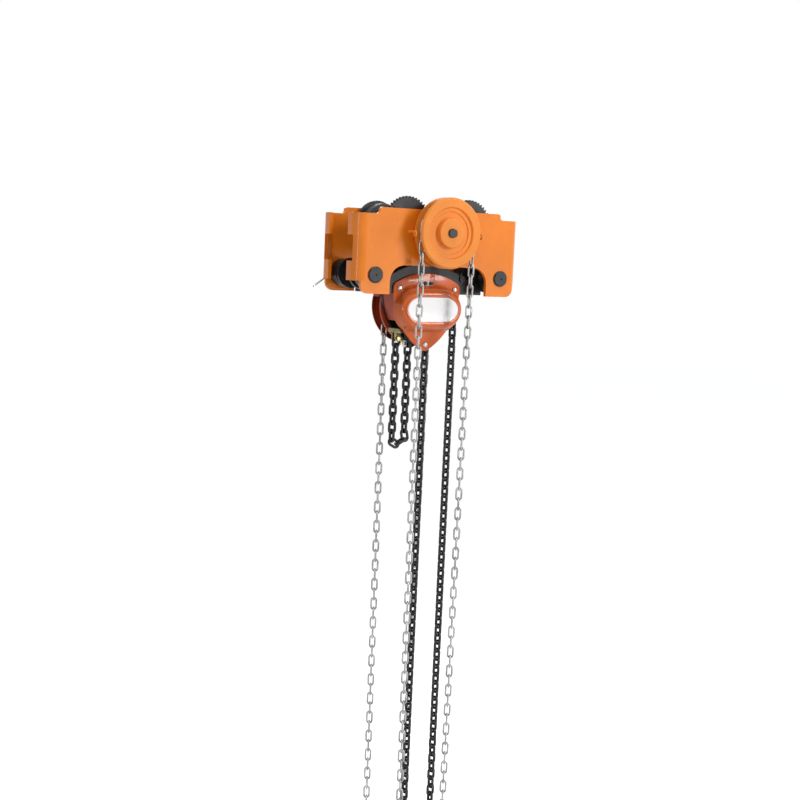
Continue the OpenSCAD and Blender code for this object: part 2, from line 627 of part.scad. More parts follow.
module hand_wheel_cover() color("firebrick") difference() {
    turned_y(0, 0, -hoist_drop, concat([[drum_r, drum_start]], corner(drum_r - 9, drum_end - 9, 9, 0, 90),
        [[55, drum_end], [45, drum_end - 5], [0, drum_end - 5], [0, drum_end - 5 - drum_wall],
         [45, drum_end - 5 - drum_wall], [55, drum_end - drum_wall]],
        corner(drum_r - 9, drum_end - 9, 9 - drum_wall, 90, 0), [[drum_r - drum_wall, drum_start]]));
    for (a = stay_angles) rod_y(stay_r + seat_fit, drum_end - 6, drum_end + 1,
        stay_ring * cos(a), stay_ring * sin(a) - hoist_drop);
    both_ends() slab_y(drum_start - 1, hoist_wheel_y + 10) translate([0, -hoist_drop])
        polygon([[40, 0], [40, -120], [50, -120], [120, -100], [120, 20], [60, 20]]);
}

module cover_nuts() color("silver") for (a = stay_angles) difference() {
    translate([stay_ring * cos(a), drum_end, stay_ring * sin(a) - hoist_drop])
        rotate([-90, 0, 0]) cylinder(r = 7.5, h = 4, $fn = 6);
    rod_y(stay_r + seat_fit, drum_end - 1, drum_end + 5, stay_ring * cos(a), stay_ring * sin(a) - hoist_drop);
}

// Chain guide rods beside the falls, and the stripper block between them
module load_chain_guide() color("dimgray") {
    both_ends() rod_y(5, -frame_in / 2, frame_in / 2, sheave_r + load_link_half + 9, -hoist_drop - 18);
    translate([-8, -frame_in / 2, -hoist_drop - sheave_r - 20]) cube([16, frame_in, 10]);
}

// Curved walls between the suspension plates, left and right of the sheave
wall_t = 3;
module side_covers() color("firebrick") both_ends() slab_y(-frame_in / 2, frame_in / 2)
    translate([0, -hoist_drop]) intersection() {
        difference() {
            three_sided(cover_w - 12, cover_r - 3);
            three_sided(cover_w - 12 - 2 * wall_t, cover_r - 3 - wall_t);
        }
        translate([cover_w / 4, -35]) square([cover_w, 85]);
    }

// Anchor of the slack end: a bridge between the plates with two cheeks, and the pin that holds the chain
cheek_in = load_wire / 2 + 0.7;
cheek_t = 4;
ring_x = slack_x + 17;
ring_z = anchor_z - 12.5;
module slack_anchor() color("goldenrod") difference() {
    union() {
        both_sides() slab_y(cheek_in, cheek_in + cheek_t) {
            translate([slack_x, anchor_z]) circle(r = 8);
            translate([slack_x - 8, anchor_z]) square([16, -hoist_drop - 56 - anchor_z]);
        }
        translate([slack_x - 8, -frame_in / 2, -hoist_drop - 64]) cube([20, frame_in, 10]);
        slab_y(-cheek_in - cheek_t, -cheek_in) {
            polygon([[slack_x + 4, anchor_z + 12], [slack_x + 4, anchor_z - 2], [ring_x - 5, ring_z - 4], [ring_x + 6, ring_z + 2]]);
            translate([ring_x, ring_z]) circle(r = 6.5);
        }
    }
    rod_y(3 + seat_fit, -20, 0, ring_x, ring_z);
    rod_y(anchor_pin_r + seat_fit, -20, 20, slack_x, anchor_z);
}

module anchor_pin() color("silver") {
    end = cheek_in + cheek_t;
    rod_y(anchor_pin_r, -end - 3, end, slack_x, anchor_z);
    rod_y(anchor_pin_r + 1, -end - 5, -end - 2, slack_x, anchor_z);
    rod_y(anchor_pin_r + 2.5, end, end + 3, slack_x, anchor_z);
    rod_y(3, -end - 3, -cheek_in, ring_x, ring_z);
    rod_y(8.5, -end - 2, -end, ring_x, ring_z);
    rod_y(4.5, -end - 4.5, -end - 2, ring_x, ring_z);
}

module load_anchor_pin() color("silver") {
    rod_y(dead_pin_r, -frame_out, frame_out, dead_x, dead_pin_z);
    both_sides() rod_y(dead_pin_r + 4, frame_out, frame_out + 4, dead_x, dead_pin_z);
}

// Chain link standing along Z in the XZ plane, of a wire, an inner length and a half width
module link(wire, inner, half) {
    bend = half - wire / 2;
    run = (inner + wire) / 2 - bend;
    for (s = [-1, 1]) translate([s * bend, 0, -run]) cylinder(r = wire / 2, h = 2 * run, $fn = 24);
    for (s = [0, 1]) mirror([0, 0, s]) translate([0, 0, run]) rotate([90, 0, 0])
        rotate_extrude(angle = 180) translate([bend, 0]) circle(r = wire / 2, $fn = 24);
}

// One child at a place given as x, z, lean about Y and twist about the link's own length
module at_place(p, y) translate([p[0], y, p[1]]) rotate([0, p[2], 0]) rotate([0, 0, p[3]]) children();

// Endless hand chain over a wheel of n links, down, round a bottom of b links and up again
face_turn = 33;
turn_links = 14;
function hand_loop(n, run, b, z) = let (r = hand_pitch / 2 / sin(180 / n), rb = hand_pitch / 2 / sin(90 / b),
    d = hand_pitch / 2 / tan(180 / n), db = hand_pitch / 2 / tan(90 / b), lean = asin((r - rb) / run / hand_pitch),
    low = z - run * hand_pitch * cos(lean)) concat(
    [for (i = [0 : n / 2 - 1]) let (a = (i + 0.5) * 360 / n) [d * cos(a), z + d * sin(a), -a, 0]],
    [for (i = [0.5 : run]) [-r + i * hand_pitch * sin(lean), z - i * hand_pitch * cos(lean), -180 - lean,
        face_turn * min(1, i / turn_links)]],
    [for (i = [0.5 : b]) let (a = 180 + i * 180 / b) [db * cos(a), low + db * sin(a), -a,
        face_turn + (90 - 2 * face_turn) * i / b]],
    [for (i = [0.5 : run]) [rb + i * hand_pitch * sin(lean), low + i * hand_pitch * cos(lean), -360 + lean,
        90 - face_turn * min(1, (run - i) / turn_links)]]);
module hand_chain(places, y) for (i = [0 : len(places) - 1])
    at_place(places[i], y) rotate([0, 0, 90 * (i % 2)]) link(hand_wire, hand_pitch + hand_play, hand_link_half);

module trolley_hand_chain() color("silver")
    hand_chain(hand_loop(trolley_links, trolley_run, trolley_links / 2 - 1, pinion_z), -wheel_y);

module hoist_hand_chain() color("silver")
    hand_chain(hand_loop(hoist_links, hoist_run, hoist_links / 2 - 1, -hoist_drop), hoist_wheel_y);

// Load chain, counted from the anchored slack end: the last link of each part
top_link = slack_links + 2 + slack_run;
over_link = top_link + sheave_links / 2;
low_link = over_link + load_run;
up_link = low_link + idler_links / 2;
last_link = up_link + dead_run;
fixed_links = 4;
dead_fixed = 8;

// Twist of the hanging falls, none at the sheaves
fall_turn = 12;
function fall_twist(i) = fall_turn * max(0, min(1, i / 12, (load_run - i) / 12));

// Places of the odd links, which lie flat on the sheaves
function flat_place(i) =
    i < slack_links ? [slack_x, slack_z + load_pitch * (slack_links - i - 0.5), 180, 0] :
    i < slack_links + 2 ? [loop_x + load_pitch / 2 * sin(loop_lean), loop_z + load_pitch / 2 * cos(loop_lean), loop_lean, 0] :
    i < top_link ? [-sheave_r, -hoist_drop - load_pitch * (top_link - i), 0, 0] :
    i <= over_link ? let (a = 180 - (i - top_link) * 360 / sheave_links)
        [sheave_r * cos(a), sheave_r * sin(a) - hoist_drop, 180 - a, 0] :
    i < low_link ? [sheave_r, -hoist_drop - load_pitch * (i - over_link), 180, -fall_twist(i - over_link)] :
    i <= up_link ? let (a = 180 + (i - low_link) * 360 / idler_links)
        [idler_x + idler_r * cos(a), idler_z + idler_r * sin(a), 360 - a, 0] :
    [dead_x, idler_z + load_pitch * (i - up_link), 0, fall_twist(i - up_link - 3)];

// Middle of the end wire of a flat link, ahead or behind
function wire_at(i, s) = let (p = flat_place(i), h = s * (load_inner + load_wire) / 2)
    [p[0] + h * sin(p[2]), p[1] + h * cos(p[2])];

// Places of the even links, each strung between the two flat links beside it
strung_gap = load_pitch - load_wire - load_play;
function strung_place(i) = let (
    start = i == 0 ? wire_at(1, -1) + [0, strung_gap] : wire_at(i - 1, 1),
    end = i == last_link ? start + [0, strung_gap] : wire_at(i + 1, -1), d = end - start)
    [(start[0] + end[0]) / 2, (start[1] + end[1]) / 2, atan2(d[0], d[1]), flat_place(max(1, i - 1))[3]];
module load_links(first, last) for (i = [first : last])
    at_place(i % 2 == 1 ? flat_place(i) : strung_place(i), 0) rotate([0, 0, 90 * (i % 2)])
        link(load_wire, load_inner, load_link_half);

module load_chain() color("dimgray") {
    load_links(0, over_link + fixed_links);
    load_links(last_link - dead_fixed + 1, last_link);
}

module lower_falls() color("dimgray") {
    load_links(over_link + fixed_links + 1, low_link - 1);
    load_links(up_link + 1, last_link - dead_fixed);
}

module idler_chain() color("dimgray") load_links(low_link, up_link);

// Hook block: two cheeks, the idler on its pin, and the hook turning in a crosshead
cheek_gap = load_side + 3;
block_t = 6;
block_out = cheek_gap + block_t;
cross_z = idler_z - 77;
shank_r = 8;
module block_cheeks() color("darkorange") difference() {
    both_sides() slab_y(cheek_gap, block_out) translate([idler_x, idler_z]) {
        circle(r = idler_r + 11);
        translate([-16, 0]) square([32, idler_r + 24]);
        translate([-26, -92]) square([52, 92]);
    }
    rod_y(shank_r + seat_fit, -block_out - 1, block_out + 1, idler_x, idler_z);
    rod_y(6 + run_fit, -block_out - 1, block_out + 1, idler_x, cross_z);
    for (p = block_bolt_places) rod_y(4 + seat_fit, -block_out - 1, block_out + 1, p[0], p[1]);
}

block_bolt_places = [[idler_x, idler_z + idler_r + 16], [idler_x - 20, idler_z - 60], [idler_x + 20, idler_z - 60]];
module block_bolts() color("silver") for (p = block_bolt_places) {
    rod_y(4, -block_out, block_out, p[0], p[1]);
    rod_y(5.5, -cheek_gap, cheek_gap, p[0], p[1]);
    both_sides() rod_y(7, block_out, block_out + 4, p[0], p[1]);
}

module crosshead() color("dimgray") difference() {
    union() {
        translate([idler_x - 16, -cheek_gap + free, cross_z - 7]) cube([32, 2 * (cheek_gap - free), 14]);
        rod_y(6, -block_out, block_out, idler_x, cross_z);
    }
    translate([idler_x, 0, cross_z - 8]) cylinder(r = shank_r + run_fit, h = 16);
}

idler_slot = idler_r - load_link_half - 0.4;
idler_seat = idler_r - load_wire / 2 - 0.4;
module idler_sheave() color("dimgray") turned_y(idler_x, 0, idler_z, [[shank_r + run_fit, -cheek_gap + free],
    [16, -cheek_gap + free], [18, -load_side - 1.5], [idler_r + 5, -load_side - 1.5], [idler_r + 5, -load_side],
    [idler_seat, -load_side], [idler_seat, -load_lane], [idler_slot, -load_lane], [idler_slot, load_lane],
    [idler_seat, load_lane], [idler_seat, load_side], [idler_r + 5, load_side], [idler_r + 5, load_side + 1.5],
    [18, load_side + 1.5], [16, cheek_gap - free], [shank_r + run_fit, cheek_gap - free]]);

module idler_pin() color("silver") {
    rod_y(shank_r, -block_out, block_out, idler_x, idler_z);
    both_sides() rod_y(shank_r + 4, block_out, block_out + 4, idler_x, idler_z);
}

// Hook: shank, neck and a bowl that runs from the neck round to the tip
bowl_r = (hook_bore + hook_stock) / 2;
stock_r = hook_stock / 2;
hook_z = cross_z - 41 - bowl_r;
tip_angle = 20;
module hook_end() difference() {
    sphere(r = stock_r + 0.6);
    translate([0, 0, stock_r - 0.5]) cylinder(r = stock_r, h = 5);
}
module hook() color("dimgray") translate([idler_x, 0, hook_z]) {
    rotate([90, 0, 0]) rotate([0, 0, 90]) rotate_extrude(angle = 270 + tip_angle) translate([bowl_r, 0]) circle(r = stock_r);
    translate([bowl_r * cos(tip_angle), 0, bowl_r * sin(tip_angle)]) rotate([0, -tip_angle, 0]) hook_end();
    translate([0, 0, bowl_r]) rotate([0, 90, 0]) hook_end();
    translate([0, 0, bowl_r]) cylinder(r = stock_r - 1, h = 20);
    translate([0, 0, bowl_r + 18]) cylinder(r = stock_r + 3, h = 16 - free);
    translate([0, 0, bowl_r + 18]) cylinder(r = shank_r, h = cross_z + 20 - hook_z - bowl_r - 18);
    difference() {
        slab_y(-4, 4) translate([stock_r - 0.5, bowl_r + 12]) stadium(8, 4.5);
        rod_y(latch_pin_r + seat_fit, -5, 5, stock_r + 3, bowl_r + 12);
    }
}

module hook_nut() color("silver") difference() {
    translate([idler_x, 0, cross_z + 7 + free]) cylinder(r = 14, h = 9, $fn = 6);
    translate([idler_x, 0, cross_z]) cylinder(r = shank_r + seat_fit, h = 30);
}

// Safety latch from a lug on the neck to the inside of the tip
latch_pin_r = 2.2;
latch_x = idler_x + stock_r + 3;
latch_z = hook_z + bowl_r + 12;
latch_reach = bowl_r - 6;
module safety_latch() color("silver") translate([latch_x, 0, latch_z]) rotate([0, 66, 0]) difference() {
    union() {
        both_sides() slab_y(4.3, 6) translate([latch_reach * 0.25, 0]) stadium(latch_reach * 0.25 + 4, 4);
        translate([6, -6, -1]) cube([latch_reach - 6, 12, 2]);
    }
    rod_y(latch_pin_r + run_fit, -7, 7);
}

module latch_pin() color("silver") {
    rod_y(latch_pin_r, -7, 7, latch_x, latch_z);
    both_sides() rod_y(latch_pin_r + 1.5, 6.3, 7.5, latch_x, latch_z);
}

front_side_plate();
rear_side_plate();
load_bars();
bar_nuts();
split_pins();
spacer_collars();
spacer_washers();
front_suspension_plate();
rear_suspension_plate();
stay_bolts();
wheel_axles();
axle_rings();
wheel_bushes();
geared_wheel_left();
geared_wheel_right();
plain_wheel_left();
plain_wheel_right();
pinion_bush();
pinion_shaft();
trolley_hand_wheel();
trolley_chain_guide();
trolley_hand_chain();
gear_cover();
name_plate();
cover_screws();
mark_plate();
mark_nuts();
sheave_bearings();
load_sheave();
load_gear();
disc_gear_left();
disc_gear_right();
drive_shaft();
brake_hub();
friction_discs();
ratchet_disc();
pawl();
pawl_pin();
hoist_hand_wheel();
brake_cover();
hand_wheel_cover();
cover_nuts();
load_chain_guide();
side_covers();
slack_anchor();
anchor_pin();
load_anchor_pin();
load_chain();
lower_falls();
hoist_hand_chain();
block_cheeks();
block_bolts();
crosshead();
idler_sheave();
idler_pin();
idler_chain();
hook();
hook_nut();
safety_latch();
latch_pin();
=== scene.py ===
# Geared hoist trolley: finishes, finer pieces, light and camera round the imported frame
import json
import math
import bpy
from mathutils import Matrix, Vector


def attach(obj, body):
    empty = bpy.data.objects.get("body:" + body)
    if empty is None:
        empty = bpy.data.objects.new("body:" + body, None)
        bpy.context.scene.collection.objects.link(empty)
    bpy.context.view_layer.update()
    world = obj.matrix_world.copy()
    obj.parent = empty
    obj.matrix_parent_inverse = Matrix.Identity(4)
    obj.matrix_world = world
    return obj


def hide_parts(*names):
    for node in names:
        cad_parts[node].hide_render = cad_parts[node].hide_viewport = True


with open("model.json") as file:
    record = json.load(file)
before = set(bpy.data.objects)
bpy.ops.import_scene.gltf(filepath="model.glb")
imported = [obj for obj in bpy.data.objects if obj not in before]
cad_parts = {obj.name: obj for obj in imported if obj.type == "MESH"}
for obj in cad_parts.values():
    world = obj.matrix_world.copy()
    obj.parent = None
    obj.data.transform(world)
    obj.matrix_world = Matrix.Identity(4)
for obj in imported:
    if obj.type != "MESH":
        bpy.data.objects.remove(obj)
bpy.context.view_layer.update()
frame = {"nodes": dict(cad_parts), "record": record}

nodes = frame["nodes"]

# Camera at the photograph's place: its turn, pitch and roll in degrees, its length in pixels of an 800 pixel
# frame, and where the middle between the load bars lies in that frame and how far ahead
PICTURE = 800
CAMERA_TURN, CAMERA_PITCH, CAMERA_ROLL = 31.56, -6.17, 2.55
CAMERA_PIXELS = 1380
BAR_AXIS = Vector((0, 0, -0.075))
BAR_AXIS_SEEN = (419.6, 275.5)
BAR_AXIS_DEPTH = 3.352
SENSOR_MM = 36


def place_camera():
    turn, pitch, roll = map(math.radians, (CAMERA_TURN, CAMERA_PITCH, CAMERA_ROLL))
    ahead = Vector((math.sin(turn) * math.cos(pitch), math.cos(turn) * math.cos(pitch), math.sin(pitch)))
    level = Vector((math.cos(turn), -math.sin(turn), 0))
    above = level.cross(ahead)
    right = math.cos(roll) * level + math.sin(roll) * above
    up = math.cos(roll) * above - math.sin(roll) * level
    side = (BAR_AXIS_SEEN[0] - PICTURE / 2) / CAMERA_PIXELS * BAR_AXIS_DEPTH
    rise = (PICTURE / 2 - BAR_AXIS_SEEN[1]) / CAMERA_PIXELS * BAR_AXIS_DEPTH
    lens = bpy.data.cameras.new("photo_camera")
    lens.sensor_width = SENSOR_MM
    lens.lens = CAMERA_PIXELS / PICTURE * lens.sensor_width
    camera = bpy.data.objects.new("photo_camera", lens)
    bpy.context.scene.collection.objects.link(camera)
    turned = Matrix((right, up, -ahead)).transposed().to_4x4()
    turned.translation = BAR_AXIS - side * right - rise * up - BAR_AXIS_DEPTH * ahead
    camera.matrix_world = turned
    bpy.context.scene.camera = camera


place_camera()


# Finishes, each a node material on Object coordinates
def new_node(tree, kind, **inputs):
    made = tree.nodes.new(kind)
    for name, value in inputs.items():
        made.inputs[name.replace("_", " ")].default_value = value
    return made


def pattern(tree, place, scale, detail=2.0, rough=0.5):
    noise = new_node(tree, "ShaderNodeTexNoise", Scale=scale, Detail=detail, Roughness=rough)
    tree.links.new(place, noise.inputs["Vector"])
    return noise.outputs["Fac"]


def ramp(tree, value, stops):
    made = tree.nodes.new("ShaderNodeValToRGB")
    tree.links.new(value, made.inputs["Fac"])
    for i, (at, colour) in enumerate(stops):
        stop = made.color_ramp.elements[i] if i < 2 else made.color_ramp.elements.new(at)
        stop.position = at
        stop.color = (*colour, 1)
    return made.outputs["Color"]


def between(tree, value, low, high):
    made = new_node(tree, "ShaderNodeMapRange", To_Min=low, To_Max=high)
    tree.links.new(value, made.inputs["Value"])
    return made.outputs["Result"]


def raised(tree, value, depth):
    made = new_node(tree, "ShaderNodeBump", Strength=1.0, Distance=depth)
    tree.links.new(value, made.inputs["Height"])
    return made.outputs["Normal"]


def blank(name):
    made = bpy.data.materials.new(name)
    made.use_nodes = True
    tree = made.node_tree
    tree.nodes.clear()
    out = tree.nodes.new("ShaderNodeOutputMaterial")
    shader = tree.nodes.new("ShaderNodeBsdfPrincipled")
    tree.links.new(shader.outputs["BSDF"], out.inputs["Surface"])
    place = tree.nodes.new("ShaderNodeTexCoord").outputs["Object"]
    return made, tree, shader, place


def shade(colour, by):
    return tuple(min(1.0, c * by) for c in colour)


# Noise scales: paint's clouds, gloss patches and orange peel, then metal's mottle, gloss patches and grain
PAINT_CLOUD, PAINT_GLOSS, PAINT_PEEL = 9, 60, 420
METAL_MOTTLE, METAL_GLOSS, METAL_GRAIN = 55, 130, 140
COAT_ROUGHNESS = 0.05


def paint(name, colour, coat=0.35, rough=(0.24, 0.36), cloud=(0.88, 1.06), peel=0.00004, gleam=0.3):
    """Sprayed enamel: a little cloudy in colour, with uneven gloss and orange peel."""
    made, tree, shader, place = blank(name)
    stops = [(0.3, shade(colour, cloud[0])), (0.7, shade(colour, cloud[1]))]
    tone = ramp(tree, pattern(tree, place, PAINT_CLOUD, 4), stops)
    tree.links.new(tone, shader.inputs["Base Color"])
    tree.links.new(between(tree, pattern(tree, place, PAINT_GLOSS, 3), *rough), shader.inputs["Roughness"])
    tree.links.new(raised(tree, pattern(tree, place, PAINT_PEEL, 2), peel), shader.inputs["Normal"])
    shader.inputs["Specular IOR Level"].default_value = gleam
    shader.inputs["Coat Weight"].default_value = coat
    shader.inputs["Coat Roughness"].default_value = COAT_ROUGHNESS
    return made


def metal(name, colour, rough=(0.25, 0.45), metallic=1.0, cloud=(0.7, 1.15), depth=0.00008):
    """Bare, plated or blackened steel: mottled tone and a fine grain."""
    made, tree, shader, place = blank(name)
    stops = [(0.32, shade(colour, cloud[0])), (0.68, shade(colour, cloud[1]))]
    tone = ramp(tree, pattern(tree, place, METAL_MOTTLE, 5, 0.6), stops)
    tree.links.new(tone, shader.inputs["Base Color"])
    tree.links.new(between(tree, pattern(tree, place, METAL_GLOSS, 4), *rough), shader.inputs["Roughness"])
    tree.links.new(raised(tree, pattern(tree, place, METAL_GRAIN, 4), depth), shader.inputs["Normal"])
    shader.inputs["Metallic"].default_value = metallic
    return made


orange_plate = paint("orange_plate", (0.86, 0.225, 0.012), gleam=0.2)
orange_wheel = paint("orange_wheel", (0.88, 0.27, 0.035), coat=0.1, rough=(0.3, 0.42), gleam=0.2)
coral_cover = paint("coral_cover", (0.66, 0.125, 0.018), coat=0.28, rough=(0.2, 0.3), gleam=0.25)
red_cover = paint("red_cover", (0.4, 0.052, 0.016), coat=0.08, gleam=0.15)
white_face = paint("white_face", (0.9, 0.9, 0.89), coat=0.2, cloud=(0.97, 1.0), peel=0.00001)
black_iron = metal("black_iron", (0.026, 0.026, 0.028), rough=(0.35, 0.55), metallic=0.4, depth=0.00015)
black_bar = metal("black_bar", (0.013, 0.013, 0.015), rough=(0.3, 0.48), metallic=0.4)
bright_steel = metal("bright_steel", (0.6, 0.6, 0.6), rough=(0.18, 0.34))
turned_steel = metal("turned_steel", (0.42, 0.42, 0.43), rough=(0.22, 0.4))
bearing_bronze = metal("bearing_bronze", (0.52, 0.33, 0.14))
yellow_zinc = metal("yellow_zinc", (0.3, 0.26, 0.13), rough=(0.38, 0.55))
brake_lining = metal("brake_lining", (0.17, 0.1, 0.07), rough=(0.75, 0.95), metallic=0.0, depth=0.0003)
black_chain = metal("black_chain", (0.016, 0.016, 0.018), rough=(0.22, 0.42), metallic=0.35, depth=0.0001)
zinc_chain = metal("zinc_chain", (0.42, 0.42, 0.41), rough=(0.26, 0.46), cloud=(0.55, 1.1))


# White ring washer with a dark bolt head in its middle, on the plated anchor pin's node
RING_AXIS = (-0.0388, 0, -0.2402)
RING_BOLT_R, RING_R = 0.0046, 0.0095
RING_WHITE, RING_BOLT = (0.85, 0.85, 0.84, 1), (0.05, 0.05, 0.055, 1)


def ringed(name, colour):
    """Plated steel, but for the white ring and the dark bolt head in its middle."""
    made = metal(name, colour, rough=(0.25, 0.42))
    tree = made.node_tree
    shader = next(node for node in tree.nodes if node.type == "BSDF_PRINCIPLED")
    place = next(node for node in tree.nodes if node.type == "TEX_COORD").outputs["Object"]
    plated = shader.inputs["Base Color"].links[0].from_socket
    flat = tree.nodes.new("ShaderNodeVectorMath")
    flat.operation = "MULTIPLY"
    flat.inputs[1].default_value = (1, 0, 1)
    tree.links.new(place, flat.inputs[0])
    reach = tree.nodes.new("ShaderNodeVectorMath")
    reach.operation = "DISTANCE"
    reach.inputs[1].default_value = RING_AXIS
    tree.links.new(flat.outputs[0], reach.inputs[0])
    steps = []
    for edge in (RING_BOLT_R, RING_R):
        step = tree.nodes.new("ShaderNodeMath")
        step.operation = "LESS_THAN"
        step.inputs[1].default_value = edge
        tree.links.new(reach.outputs["Value"], step.inputs[0])
        steps.append(step.outputs[0])
    bolt, ring = steps
    enamel = new_node(tree, "ShaderNodeMixRGB", Color1=RING_WHITE, Color2=RING_BOLT)
    tree.links.new(bolt, enamel.inputs["Fac"])
    tone = tree.nodes.new("ShaderNodeMixRGB")
    tree.links.new(ring, tone.inputs["Fac"])
    tree.links.new(plated, tone.inputs["Color1"])
    tree.links.new(enamel.outputs["Color"], tone.inputs["Color2"])
    tree.links.new(tone.outputs["Color"], shader.inputs["Base Color"])
    bare = new_node(tree, "ShaderNodeMapRange", To_Min=1.0, To_Max=0.0)
    tree.links.new(ring, bare.inputs["Value"])
    tree.links.new(bare.outputs["Result"], shader.inputs["Metallic"])
    return made


ringed_zinc = ringed("ringed_zinc", (0.3, 0.26, 0.13))

FINISHES = {
    orange_plate: ["front_side_plate", "rear_side_plate", "block_cheeks"],
    orange_wheel: ["trolley_hand_wheel", "trolley_chain_guide"],
    coral_cover: ["gear_cover", "hoist_hand_wheel"],
    red_cover: ["brake_cover", "hand_wheel_cover", "side_covers"],
    white_face: ["name_plate", "mark_plate"],
    black_iron: ["geared_wheel_left", "geared_wheel_right", "plain_wheel_left", "plain_wheel_right",
                 "pinion_shaft", "load_sheave", "load_gear", "disc_gear_left", "disc_gear_right", "brake_hub",
                 "ratchet_disc", "pawl", "idler_sheave", "hook", "crosshead"],
    black_bar: ["load_bars", "bar_nuts", "spacer_collars", "front_suspension_plate", "rear_suspension_plate",
                "load_chain_guide", "mark_nuts", "wheel_axles", "load_anchor_pin"],
    bright_steel: ["split_pins", "spacer_washers", "axle_rings", "cover_screws", "cover_nuts", "pawl_pin",
                   "latch_pin", "safety_latch", "hook_nut"],
    turned_steel: ["stay_bolts", "sheave_bearings", "drive_shaft", "block_bolts", "idler_pin"],
    bearing_bronze: ["wheel_bushes", "pinion_bush"],
    yellow_zinc: ["slack_anchor"],
    ringed_zinc: ["anchor_pin"],
    brake_lining: ["friction_discs"],
    black_chain: ["load_chain", "lower_falls", "idler_chain"],
    zinc_chain: ["trolley_hand_chain", "hoist_hand_chain"],
}


def dress(piece, finish):
    piece.data.materials.clear()
    piece.data.materials.append(finish)


for finish, names in FINISHES.items():
    for name in names:
        dress(nodes[name], finish)


# Modelling helpers: everything is deselected first
record = frame["record"]
BODY_OF = {node: body for body, members in record["behaviour"]["bodies"].items() for node in members}
MERGE_REACH = 0.000002


def only(piece):
    bpy.ops.object.select_all(action="DESELECT")
    piece.select_set(True)
    bpy.context.view_layer.objects.active = piece


def edit(piece):
    only(piece)
    bpy.ops.object.mode_set(mode="EDIT")
    bpy.ops.mesh.select_mode(type="FACE")
    bpy.ops.mesh.select_all(action="DESELECT")


def leave_edit():
    bpy.ops.object.mode_set(mode="OBJECT")


def apply_modifier(piece, kind, **settings):
    only(piece)
    added = piece.modifiers.new(kind.lower(), kind)
    for name, value in settings.items():
        setattr(added, name, value)
    bpy.ops.object.modifier_apply(modifier=added.name)


def settle(piece, angle=35):
    """Puts the piece's place into its mesh, turns its faces outwards and smooths its shallow edges."""
    only(piece)
    bpy.ops.object.transform_apply(location=True, rotation=True, scale=True)
    edit(piece)
    bpy.ops.mesh.select_all(action="SELECT")
    bpy.ops.mesh.remove_doubles(threshold=MERGE_REACH)
    bpy.ops.mesh.normals_make_consistent(inside=False)
    leave_edit()
    bpy.ops.object.shade_smooth_by_angle(angle=math.radians(angle))


def put_on(piece, name, body, finish, stands_for):
    piece.name = name
    piece.data.name = name
    dress(piece, finish)
    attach(piece, body)
    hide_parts(stands_for)


def stadium_outline(half, high, count):
    """Points round a stadium in X and Z, evenly spaced along it."""
    straight, turn = 2 * (half - high), math.pi * high
    whole = 2 * (straight + turn)
    points = []
    for i in range(count):
        s = i / count * whole
        if s < straight:
            points.append((half - high - s, high))
        elif s < straight + turn:
            a = math.pi / 2 + (s - straight) / high
            points.append((high - half + high * math.cos(a), high * math.sin(a)))
        elif s < 2 * straight + turn:
            points.append((high - half + s - straight - turn, -high))
        else:
            a = -math.pi / 2 + (s - 2 * straight - turn) / high
            points.append((half - high + high * math.cos(a), high * math.sin(a)))
    return points


def three_sided_outline(width, corner, count):
    """Points round a constant-width outline in X and Z with one corner down."""
    side = width - 2 * corner
    out = side / math.sqrt(3)
    ends = [(out * math.cos(math.radians(a)), out * math.sin(math.radians(a))) for a in (-90, 30, 150)]
    points = []
    for k, (x, z) in enumerate(ends):
        away = -90 + 120 * k
        for i in range(count // 6):
            a = math.radians(away - 30 + 60 * i / (count // 6))
            points.append((x + corner * math.cos(a), z + corner * math.sin(a)))
        far_x, far_z = ends[(k + 2) % 3]
        for i in range(count // 6):
            a = math.radians(away + 30 + 60 * i / (count // 6))
            points.append((far_x + (side + corner) * math.cos(a), far_z + (side + corner) * math.sin(a)))
    return points


def flat_outline(points, y, middle_z):
    """A filled outline facing -Y, from a circle whose corners are drawn out to the points."""
    bpy.ops.object.select_all(action="DESELECT")
    bpy.ops.mesh.primitive_circle_add(vertices=len(points), radius=0.05, fill_type="NGON")
    piece = bpy.context.object
    for vertex, (x, z) in zip(piece.data.vertices, points):
        vertex.co = (x, y, middle_z + z)
    return piece


def push_out(y_step, scale_x=1.0, scale_z=1.0, middle_z=0.0):
    """Extrudes the picked face along Y and narrows it."""
    bpy.ops.mesh.extrude_region_move(TRANSFORM_OT_translate={"value": (0, y_step, 0)})
    if scale_x != 1 or scale_z != 1:
        bpy.ops.transform.resize(value=(scale_x, 1, scale_z), center_override=(0, 0, middle_z))


# Gear cover: a three-sided flange with broken edges, a bulge that swells from it, a rim round the name plate
HOIST_Z = -0.150
COVER_BACK, COVER_FACE = -0.032, -0.038
BULGE_Z = HOIST_Z - 0.004
OUTLINE_POINTS = 96
FLANGE_WIDTH, FLANGE_CORNER = 0.188, 0.016
# Steps of the flange's broken edge: how far out, and what is left of the outline
FLANGE_EDGE = [(0.0011, 0.995), (0.0005, 0.985)]
BULGE_HALF, BULGE_HIGH = 0.094, 0.058
BULGE_SEAT = 0.001
# Steps of the bulge's side: how far out from the flange, and how much less its half length and half height
BULGE_STEPS = [
    (0.0012, 0.0022, 0.0022), (0.0030, 0.0034, 0.0034), (0.0060, 0.0042, 0.0046),
    (0.0120, 0.0050, 0.0062), (0.0180, 0.0064, 0.0088), (0.0230, 0.0084, 0.0120),
    (0.0265, 0.0108, 0.0150), (0.0287, 0.0140, 0.0188), (0.0300, 0.0172, 0.0222),
]
RIM_WIDTH, RIM_RISE = 0.0048, 0.0025
# The rim stands in from the bulge's last step, and its corners are broken over the upper part of its height
RIM_MARGIN, RIM_CORNER, RIM_UPRIGHT, RIM_SLOPE = 0.0012, 0.0007, 0.7, 0.3


